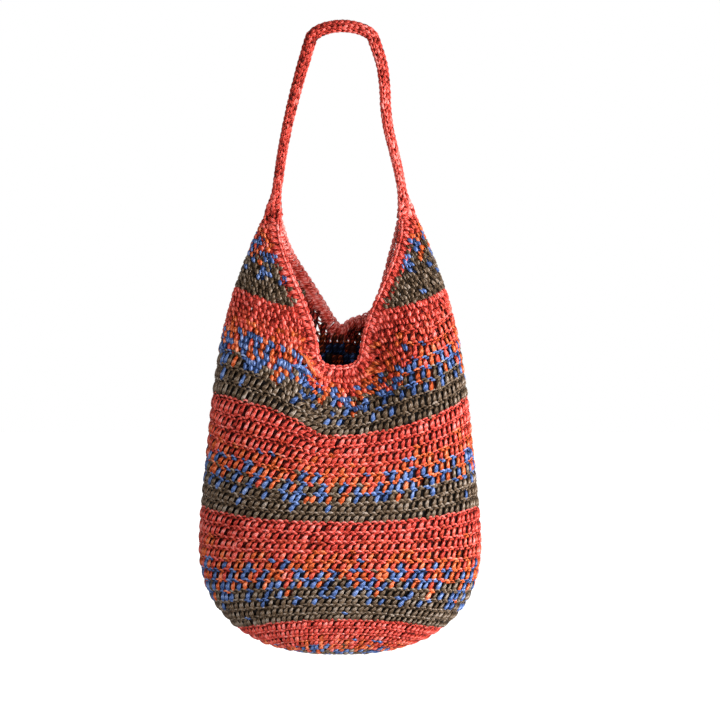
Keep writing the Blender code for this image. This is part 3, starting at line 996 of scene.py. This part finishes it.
PEAK_YARN = 0.92  # share of the yarn's width in the peaks, where the stitches are tighter
BODY_SECTIONS = (  # name and first and last round of each piece
    ("base_rounds", 1, 9),
    ("belly_rounds", 10, 18),
    ("middle_rounds", 19, 27),
    ("shoulder_rounds", 28, 35),
    ("peak_rows", 36, FULL_ROUNDS),
)


class BAG_OT_body(bpy.types.Operator):
    """Works the body in five pieces, from the base centre to the tips of the peaks"""

    bl_idname = "bag.body"
    bl_label = "Body Stitches"

    def execute(self, context):
        rng = np.random.default_rng(context.scene.bag_stitches.seed)
        rows = body_rows()
        for name, first, last in BODY_SECTIONS:
            strands = Strands()
            for row in rows:
                if first <= row.level <= last:
                    work_row(strands, row, rng, 1.0 if row.level <= BODY_ROUNDS else PEAK_YARN)
            strands.finish(name, yarn_materials(), ["crochet_body"])
        return {"FINISHED"}


RIM_START = (0.0, 0.06, 0.2)  # rounds above the bottom of a cut, close together at its corner
RIM_STEP = 0.5  # rounds from point to point above that


def rim_path(cut, facing):
    """(angles, shares) along a cut, from the left peak through the middle to the right peak."""
    top = FULL_ROUNDS - NECK_ROUND
    rises = np.append(RIM_START, np.arange(RIM_STEP, top + RIM_STEP / 2, RIM_STEP))
    shares = share_of_round(NECK_ROUND + rises)
    angles = cut_angle(shares, cut)
    angles = np.append(-angles[:0:-1], angles)
    shares = np.append(shares[:0:-1], shares)
    return (angles if facing > 0 else math.pi - angles), shares


def step_across(angles, shares, width, facing, passes=0):
    """The path moved sideways over the skin, into the opening of the neck."""
    points = surface(angles, shares)
    side = unit(np.cross(outward(angles, shares), np.gradient(points, axis=0)))
    side = unit(eased(side, passes)) * facing * width
    by_angle, by_share = slopes(angles, shares)
    moved = np.column_stack([angles, shares])
    for i in range(len(angles)):
        basis = np.column_stack([by_angle[i], by_share[i]])
        moved[i] += np.linalg.lstsq(basis, side[i], rcond=None)[0]
    moved = eased(moved, passes)
    return moved[:, 0], np.minimum(moved[:, 1], 1.0)


CORNER_EASING = 3  # how often the outer edge of an edging is rounded off
BACK_EASING = 6  # further rounding of the outer edge at the back, where the cloth sags


class EdgingRow:
    """A row of stitches along one cut of the neck: up is from the fabric to the outer edge."""

    def __init__(self, cut, facing, pitch):
        path = rim_path(cut, facing)
        far = step_across(*path, EDGING_WIDTH, facing, CORNER_EASING)
        self.near, self.far = np.column_stack(path), np.column_stack(far)
        if facing < 0:
            self.far = eased(self.far, BACK_EASING)
        middle = surface(*((self.near + self.far) / 2).T)
        length = np.append(0, np.cumsum(np.linalg.norm(np.diff(middle, axis=0), axis=1)))
        self.stops = length / length[-1]
        self.count = round(length[-1] / pitch)
        self.facing = facing

    def place(self, cell, up):
        """(angle, share) at a distance along the edging in stitches, and up over its width."""
        part = cell / self.count
        part = part if self.facing > 0 else 1 - part
        near = [np.interp(part, self.stops, self.near[:, k]) for k in range(2)]
        far = [np.interp(part, self.stops, self.far[:, k]) for k in range(2)]
        angle = near[0] + (far[0] - near[0]) * up
        return angle, np.clip(near[1] + (far[1] - near[1]) * up, 0, 1)


# The strands of one edging stitch, as above, but up is a share of the edging's width
EDGING_LEG = (
    (0.30, -0.42, -3.6, 0.60),
    (0.30, 0.04, -1.6, 0.86),
    (0.36, 0.30, -1.0, 0.92),
    (0.45, 0.52, -1.3, 0.78),
    (0.52, 0.72, -2.6, 0.56),
)
EDGING_SECOND_LEG = (
    (0.84, -0.06, -3.2, 0.50),
    (0.88, 0.20, -1.9, 0.70),
    (0.86, 0.46, -1.6, 0.66),
    (0.76, 0.70, -2.6, 0.50),
)
EDGING_INNER_LEG = (
    (0.48, -0.60, -3.8, 1.00),
    (0.54, 0.10, -4.3, 1.10),
    (0.54, 0.44, -4.4, 1.10),
    (0.46, 0.78, -3.5, 0.80),
)
EDGING_INNER_BACK_LEG = (
    (1.02, -0.56, -3.7, 0.90),
    (1.04, 0.16, -4.2, 0.95),
    (1.00, 0.46, -4.2, 0.90),
    (0.92, 0.76, -3.4, 0.70),
)
CHAIN_OUTER = (
    (-0.06, 0.74, -2.4, 0.42),
    (0.26, 0.72, -0.7, 0.52),
    (0.66, 0.74, -0.6, 0.52),
    (1.04, 0.82, -1.7, 0.42),
)
CHAIN_TOP = (
    (-0.02, 0.86, -2.9, 0.42),
    (0.34, 0.96, -1.9, 0.54),
    (0.74, 0.96, -2.1, 0.54),
    (1.08, 0.86, -3.1, 0.42),
)
CHAIN_INNER = (
    (0.00, 0.84, -3.0, 0.46),
    (0.40, 0.86, -4.1, 0.58),
    (0.80, 0.84, -4.2, 0.58),
    (1.20, 0.80, -3.2, 0.46),
)
# Each strand with its shade, before the painted shade of depth. The inner strands start much lighter,
# so that they end about as light as the outer ones where the inside of the rim is seen. The outer
# chain ends a little lighter than the legs, as a painted highlight along the edge
EDGING_STRANDS = (  # each with its shade
    (EDGING_LEG, 0.52),
    (EDGING_SECOND_LEG, 0.46),
    (EDGING_INNER_LEG, 1.25),
    (EDGING_INNER_BACK_LEG, 1.10),
    (CHAIN_OUTER, 0.66),
    (CHAIN_TOP, 0.72),
    (CHAIN_INNER, 1.25),
)
OPEN_FROM = 0.040  # metres to the right, from where the back edging is stretched open
OPEN_WIDTH = 0.5  # share of the width that its legs keep there, with holes between them
OPEN_BELOW = 0.5  # strands that start below this are legs and not chains
BACK_PAINTED_LIGHT = 0.22  # how much lighter all of the back edging is drawn: painted light, for its inside where light comes in at the neck

# How unevenly the edgings and the strap are worked
TRIM_SHIFT = 0.05  # in stitches
TRIM_PLUMP = 0.08  # share of the width
EDGING_SHADE_SPREAD = 0.10


class BAG_OT_edgings(bpy.types.Operator):
    """Works the coral edging along the front and the back cut of the neck"""

    bl_idname = "bag.edgings"
    bl_label = "Neck Edgings"

    def execute(self, context):
        sizes = context.scene.bag_stitches
        rng = np.random.default_rng(sizes.seed + 1)
        for name, node, cut, facing in (
            ("front_edging_stitches", "front_neck_edging", FRONT_CUT, 1),
            ("back_edging_stitches", "back_neck_edging", BACK_CUT, -1),
        ):
            row = EdgingRow(cut, facing, sizes.edging_pitch)
            strands = Strands()
            cells = np.arange(row.count)
            yarn = np.full(row.count, CORAL)
            for shape, shade in EDGING_STRANDS:
                shape = np.array(shape)
                shift = rng.normal(0, TRIM_SHIFT, (row.count, 1)) * sizes.unevenness
                angle, share = row.place(cells[:, None] + shape[:, 0] + shift, shape[:, 1])
                normal = outward(angle, share)
                centre = surface(angle, share) + normal * (shape[:, 2] * MILLIMETRE)[:, None]
                plump = 1 + rng.normal(0, TRIM_PLUMP, (row.count, 1)) * sizes.unevenness
                width = sizes.leg_width * shape[:, 3] * plump
                if facing < 0 and shape[0, 1] < OPEN_BELOW:
                    width = width * np.where(centre[:, :1, 0] > OPEN_FROM, OPEN_WIDTH, 1.0)
                tone = depth_shaded_tone(shape, rng.normal(shade, EDGING_SHADE_SPREAD, row.count))
                if facing < 0:
                    tone = tone + BACK_PAINTED_LIGHT
                strands.sweep(centre, normal, width, width * sizes.leg_thickness, yarn, tone)
            strands.finish(name, yarn_materials(), [node])
        return {"FINISHED"}


def foot_ring(side, sides):
    """The strap's outline where it sits on the folded peak, on the right for side 1."""
    corners = []
    for cut, facing in ((FRONT_CUT, 1), (BACK_CUT, -1)):
        angles, _ = step_across(*rim_path(cut, facing), EDGING_WIDTH, facing)
        corners.append(abs(angles[-1]))
    wrap = sides * 2 // 3  # sides that lie round the fold; the others close the ring
    angles = np.linspace(corners[0], corners[1], wrap + 1)
    shares = np.ones_like(angles)
    folded = surface(angles, shares) + unit(slopes(angles, shares)[1]) * CLEARANCE
    between = np.linspace(0, 1, sides - wrap + 1)[1:-1, None]
    closing = folded[-1] + (folded[0] - folded[-1]) * between
    ring = np.vstack([folded, closing])
    ring[:, 0] *= side
    return ring


def limb(foot, side):
    """Points from one foot of the strap up to the arch, right out to the side and back in."""
    spring_x = ARCH_RIGHT if side > 0 else ARCH_LEFT
    spring_z = STRAP_THICKNESS / 2 - ARCH_RISE
    fall = np.linspace(1, 0, LIMB_POINTS + 1)[:-1]
    if side > 0:
        bow = RIGHT_BOW * np.sin(3 * math.pi * fall) * (1 - fall)
    else:
        bow = -LEFT_BOW * np.sin(math.pi * fall)
    x = spring_x + (side * foot[0] - spring_x) * fall + bow
    z = spring_z + (foot[2] - spring_z) * fall
    return np.column_stack([x, np.zeros_like(x), z])


def arch():
    """Points of the strap's top, from left to right."""
    turn = np.linspace(math.pi, 0, ARCH_POINTS)
    x = (ARCH_LEFT + ARCH_RIGHT) / 2 + (ARCH_RIGHT - ARCH_LEFT) / 2 * np.cos(turn)
    z = STRAP_THICKNESS / 2 - ARCH_RISE * (1 - np.sin(turn))
    return np.column_stack([x, np.zeros_like(x), z])


CURVE_STEPS = 12  # points on the curve from one given point to the next


def smooth_line(points, count):
    """count points, evenly spaced, on a smooth curve through the given ones."""
    ends = np.vstack([2 * points[0] - points[1], points, 2 * points[-1] - points[-2]])
    fine = []
    for i in range(1, len(ends) - 2):
        a, b, c, d = ends[i - 1 : i + 3]
        for t in np.linspace(0, 1, CURVE_STEPS, endpoint=False):
            cubic = (3 * b - 3 * c + d - a) * t**3 + (2 * a - 5 * b + 4 * c - d) * t**2
            fine.append(0.5 * (2 * b + (c - a) * t + cubic))
    fine.append(points[-1])
    fine = np.array(fine)
    length = np.append(0, np.cumsum(np.linalg.norm(np.diff(fine, axis=0), axis=1)))
    even = np.linspace(0, length[-1], count)
    return np.column_stack([np.interp(even, length, fine[:, k]) for k in range(3)]), even


STRAP_STATIONS = 201  # rings of points along the strap's skin
STRAP_SIDES = 48  # points in each


class StrapSkin:
    """The strap's outer skin as a grid of points, with the chains turning round it."""

    def __init__(self):
        foot = foot_ring(1, STRAP_SIDES).mean(axis=0)
        route = np.vstack([limb(foot, -1), arch(), limb(foot, 1)[::-1]])
        line, length = smooth_line(route, STRAP_STATIONS)
        self.length = float(length[-1])
        run = unit(np.gradient(line, axis=0))
        back = np.array([0.0, 1.0, 0.0])
        outside = np.cross(run, back)
        around = (np.arange(STRAP_SIDES) - STRAP_SIDES // 3) * 2 * math.pi / STRAP_SIDES
        last = STRAP_STATIONS - 1
        feet = {0: foot_ring(-1, STRAP_SIDES), last: foot_ring(1, STRAP_SIDES)}
        grid = []
        for i in range(STRAP_STATIONS):
            turned = around - STRAP_TWIST * (length[i] / length[-1] - 0.5)
            long, short = STRAP_WIDTH / 2, STRAP_THICKNESS / 2
            oval = long * short / np.hypot(short * np.cos(turned), long * np.sin(turned))
            ring = line[i] + oval[:, None] * (
                np.cos(around)[:, None] * outside[i] + np.sin(around)[:, None] * back
            )
            end = 0 if i < STRAP_STATIONS / 2 else last
            blend = smooth_step(abs(length[i] - length[end]) / STRAP_FOOT)
            spread = feet[end] + (line[i] - line[end])
            grid.append(spread * (1 - blend) + ring * blend)
        self.grid = np.array(grid)
        by_side = np.roll(self.grid, -1, axis=1) - np.roll(self.grid, 1, axis=1)
        by_run = np.gradient(self.grid, axis=0)
        normal = unit(np.cross(by_side, by_run))
        away = self.grid - line[:, None]
        self.normal = normal * np.sign((normal * away).sum(axis=-1, keepdims=True))
        self.across = outside
        girth = np.linalg.norm(by_side, axis=-1).sum(axis=1)
        self.spread = girth / girth[STRAP_STATIONS // 2]

    def place(self, chain, up):
        """(points, normals, spread) at a number of chains round the cord and metres along it."""
        share = np.clip(up / self.length, 0, 1)
        row = share * (STRAP_STATIONS - 1)
        turn = STRAP_TWIST * (share - 0.5)
        column = (chain / STRAP_CHAINS + turn / (2 * math.pi)) * STRAP_SIDES
        i = np.minimum(row.astype(int), STRAP_STATIONS - 2)
        j = np.floor(column).astype(int)
        a, b = (row - i)[..., None], (column - j)[..., None]
        this, other = j % STRAP_SIDES, (j + 1) % STRAP_SIDES
        found = []
        for field in (self.grid, self.normal):
            low = field[i, this] * (1 - b) + field[i, other] * b
            high = field[i + 1, this] * (1 - b) + field[i + 1, other] * b
            found.append(low * (1 - a) + high * a)
        a = a[..., 0]
        return found[0], unit(found[1]), self.spread[i] * (1 - a) + self.spread[i + 1] * a


# The two legs of a chain stitch of the strap: chains across, stitches along, millimetres out from
# the skin, and the share of the full width
STRAP_LEG = (
    (0.06, -0.30, -2.6, 0.50),
    (0.12, 0.10, -1.2, 0.72),
    (0.24, 0.50, -0.9, 0.80),
    (0.38, 0.90, -1.3, 0.70),
    (0.47, 1.25, -2.6, 0.50),
)
STRAP_OTHER_LEG = (
    (0.94, -0.20, -2.6, 0.50),
    (0.88, 0.16, -1.3, 0.68),
    (0.76, 0.54, -1.0, 0.74),
    (0.62, 0.92, -1.4, 0.66),
    (0.53, 1.25, -2.6, 0.50),
)
# Painted shade along the strap: its left limb is drawn darker, away from the key lamp on the right
STRAP_PLACES = (0.0, 0.12, 0.45, 1.0)  # shares of its length, from the left foot
STRAP_PAINTED_SHADES = (0.52, 0.30, 0.36, 0.64)  # painted shade of the yarn there
STRAP_SHADE_SPREAD = 0.15
STRAP_YARN = 0.76  # width of the yarn over that of the body
CHAIN_OFFSET = 0.37  # share of a stitch by which each chain is set on from the one beside it
STRAP_COVER = 0.0048  # the chains on both sides of the cord's core take this much
# The cord is drawn nearly black, as painted shade in the slits between the chains
CORE_PAINTED_SHADE = 0.04
CORE_SIDES = 10


def add_core(strands, skin):
    """Adds the cord that the chains of the strap are worked round, nearly hidden between them and
    drawn nearly black, as painted shade in the slits.
    """
    core = skin.grid.mean(axis=1)
    reach = skin.grid - core[:, None]
    wide = 2 * np.abs((reach * skin.across[:, None]).sum(-1)).max(axis=1) - STRAP_COVER
    deep = 2 * np.abs(reach[:, :, 1]).max(axis=1) - STRAP_COVER
    level = np.broadcast_to(np.array([0.0, 1.0, 0.0]), core.shape)
    tone = np.full((1, len(core)), CORE_PAINTED_SHADE)
    yarn = np.array([CORAL])
    strands.sweep(core[None], level[None], wide[None], deep[None], yarn, tone, CORE_SIDES)


class BAG_OT_strap(bpy.types.Operator):
    """Works the strap: six chains of stitches round a cord that turns as it hangs"""

    bl_idname = "bag.strap"
    bl_label = "Strap"

    def execute(self, context):
        sizes = context.scene.bag_stitches
        rng = np.random.default_rng(sizes.seed + 2)
        skin = StrapSkin()
        loops = round(skin.length / sizes.strap_pitch)
        pitch = skin.length / loops
        chains, stitches = np.arange(STRAP_CHAINS), np.arange(-1, loops)
        chain, along_cord = np.meshgrid(chains, stitches, indexing="ij")
        offset = (chain * CHAIN_OFFSET) % 1.0
        chain, along_cord, offset = chain.ravel(), along_cord.ravel(), offset.ravel()
        count = len(chain)
        yarn = np.full(count, CORAL)
        strands = Strands()
        for shape in (STRAP_LEG, STRAP_OTHER_LEG):
            shape = np.array(shape)
            shift = rng.normal(0, TRIM_SHIFT, (count, 1)) * sizes.unevenness
            cell = chain[:, None] + shape[:, 0] + shift
            up = (along_cord[:, None] + offset[:, None] + shape[:, 1] + shift) * pitch
            points, normal, spread = skin.place(cell, np.clip(up, 0, skin.length))
            centre = points + normal * (shape[:, 2] * MILLIMETRE)[:, None]
            plump = 1 + rng.normal(0, TRIM_PLUMP, (count, 1)) * sizes.unevenness
            width = sizes.leg_width * STRAP_YARN * shape[:, 3] * plump
            thickness = width * sizes.leg_thickness
            shade = np.interp(along_cord / loops, STRAP_PLACES, STRAP_PAINTED_SHADES)
            tone = depth_shaded_tone(shape, shade + rng.normal(0, STRAP_SHADE_SPREAD, count))
            strands.sweep(centre, normal, width * spread, thickness, yarn, tone)
        add_core(strands, skin)
        strands.finish("strap_stitches", yarn_materials(), ["shoulder_strap"])
        return {"FINISHED"}


FLOOR_DROP = 0.35  # from the bag's base down to the floor
FLOOR_SIZE = 14.0
FLOOR_GLOW = 0.86  # light added to the floor as the camera sees it, so that its lit part is white
VIEW_TARGET = (0.019, 0.0, -0.3107)  # what the camera and the large lamps are aimed at
KEY_SIZE, KEY_PLACE = 0.8, (2.02, -0.84, -0.30)
FILL_SIZE, FILL_PLACE = 1.0, (0.7, -2.2, -0.42)
SPOT_PLACE, SPOT_TARGET = (0.15, -2.2, 0.50), (0.0, 0.0, -0.25)
SPOT_CONE = math.radians(8)
SPOT_SOFTNESS = 0.25


def seen_directly(tree, strength, otherwise=0.0):
    """A strength for what the camera sees, also in glass and gloss, and another for the light."""
    path = add_node(tree, "ShaderNodeLightPath")
    seen = path.outputs["Is Camera Ray"]
    for name in ("Is Glossy Ray", "Is Transmission Ray"):
        either = add_node(tree, "ShaderNodeMath", {"operation": "MAXIMUM"})
        tree.links.new(seen, either.inputs[0])
        tree.links.new(path.outputs[name], either.inputs[1])
        seen = either.outputs["Value"]
    scaled = add_node(
        tree, "ShaderNodeMapRange", Value=seen, To_Min=otherwise, To_Max=strength
    )
    return scaled.outputs["Result"]


def white_stage_material():
    """Painted plywood, matt white: seen white by the camera, but for the bag's shadow."""
    material = bpy.data.materials.new("matt_white_sweep")
    material.use_nodes = True
    tree = material.node_tree
    shader = tree.nodes["Principled BSDF"]
    shader.inputs["Base Color"].default_value = (*linear("#F4F4F4"), 1.0)
    shader.inputs["Roughness"].default_value = 0.9
    glow = add_node(
        tree,
        "ShaderNodeEmission",
        Color=(1.0, 1.0, 1.0, 1.0),
        Strength=seen_directly(tree, FLOOR_GLOW),
    )
    mix = add_node(tree, "ShaderNodeAddShader")
    tree.links.new(shader.outputs["BSDF"], mix.inputs[0])
    tree.links.new(glow.outputs["Emission"], mix.inputs[1])
    output = next(node for node in tree.nodes if node.type == "OUTPUT_MATERIAL")
    tree.links.new(mix.outputs["Shader"], output.inputs["Surface"])
    return material


def place_aimed(name, data, place, target):
    """Puts a lamp or a camera at a place and turns it to a target."""
    obj = bpy.data.objects.new(name, data)
    obj.location = place
    obj.rotation_euler = (Vector(target) - Vector(place)).to_track_quat("-Z", "Y").to_euler()
    bpy.context.scene.collection.objects.link(obj)
    return obj


def add_lamp(name, power, size, place):
    """A round soft lamp, aimed at the bag."""
    lamp = bpy.data.lights.new(name, "AREA")
    lamp.shape = "DISK"
    lamp.size = size
    lamp.energy = power
    place_aimed(name, lamp, place, VIEW_TARGET)


class BAG_OT_stage(bpy.types.Operator):
    """Sets up the floor, the soft lamps, the white surroundings and the camera"""

    bl_idname = "bag.stage"
    bl_label = "Stage and Camera"

    def execute(self, context):
        studio = context.scene.bag_studio
        floor_mesh = bpy.data.meshes.new("studio_floor")
        half = FLOOR_SIZE / 2
        low = BASE_Z - FLOOR_DROP
        corners = [(-half, -half, low), (half, -half, low), (half, half, low), (-half, half, low)]
        floor_mesh.from_pydata(corners, [], [(0, 1, 2, 3)])
        floor_mesh.materials.append(white_stage_material())
        floor = bpy.data.objects.new("studio_floor", floor_mesh)
        context.scene.collection.objects.link(floor)

        add_lamp("key_lamp", studio.key, KEY_SIZE, KEY_PLACE)
        add_lamp("fill_lamp", studio.fill, FILL_SIZE, FILL_PLACE)
        spot = bpy.data.lights.new("neck_spot", "SPOT")
        spot.spot_size = SPOT_CONE
        spot.spot_blend = 1.0
        spot.shadow_soft_size = SPOT_SOFTNESS
        spot.energy = studio.neck
        place_aimed("neck_spot", spot, SPOT_PLACE, SPOT_TARGET)

        world = bpy.data.worlds.new("white_surroundings")
        context.scene.world = world
        world.use_nodes = True
        tree = world.node_tree
        background = tree.nodes["Background"]
        background.inputs["Color"].default_value = (1.0, 1.0, 1.0, 1.0)
        tree.links.new(seen_directly(tree, 1.0, studio.sky), background.inputs["Strength"])

        camera = bpy.data.cameras.new("photo_camera")
        camera.lens = camera.sensor_width * studio.camera_distance / studio.view_width
        camera.clip_end = 50.0
        turn = studio.camera_height
        back = Vector((0.0, -math.cos(turn), math.sin(turn)))
        place = Vector(VIEW_TARGET) + back * studio.camera_distance
        context.scene.camera = place_aimed("photo_camera", camera, place, VIEW_TARGET)
        context.scene.view_settings.view_transform = "Standard"
        return {"FINISHED"}


class BAG_PT_panel(bpy.types.Panel):
    """Sizes, colours and steps of the bag"""

    bl_idname = "BAG_PT_panel"
    bl_label = "Crocheted Bag"
    bl_space_type = "VIEW_3D"
    bl_region_type = "UI"
    bl_category = "Bag"

    def draw(self, context):
        layout = self.layout
        scene = context.scene
        for group in (scene.bag_yarns, scene.bag_stitches, scene.bag_studio):
            box = layout.box()
            for name in group.__annotations__:
                box.prop(group, name)
        for operator in OPERATORS:
            layout.operator(operator.bl_idname)


OPERATORS = (BAG_OT_stage, BAG_OT_body, BAG_OT_edgings, BAG_OT_strap)
CLASSES = (YarnColours, StitchSizes, StudioLight) + OPERATORS + (BAG_PT_panel,)


def register():
    for cls in CLASSES:
        bpy.utils.register_class(cls)
    bpy.types.Scene.bag_yarns = PointerProperty(type=YarnColours)
    bpy.types.Scene.bag_stitches = PointerProperty(type=StitchSizes)
    bpy.types.Scene.bag_studio = PointerProperty(type=StudioLight)


def unregister():
    del bpy.types.Scene.bag_studio
    del bpy.types.Scene.bag_stitches
    del bpy.types.Scene.bag_yarns
    for cls in reversed(CLASSES):
        bpy.utils.unregister_class(cls)


def main():
    register()
    bpy.ops.bag.stage()
    bpy.ops.bag.body()
    bpy.ops.bag.edgings()
    bpy.ops.bag.strap()


if __name__ == "__main__":
    main()
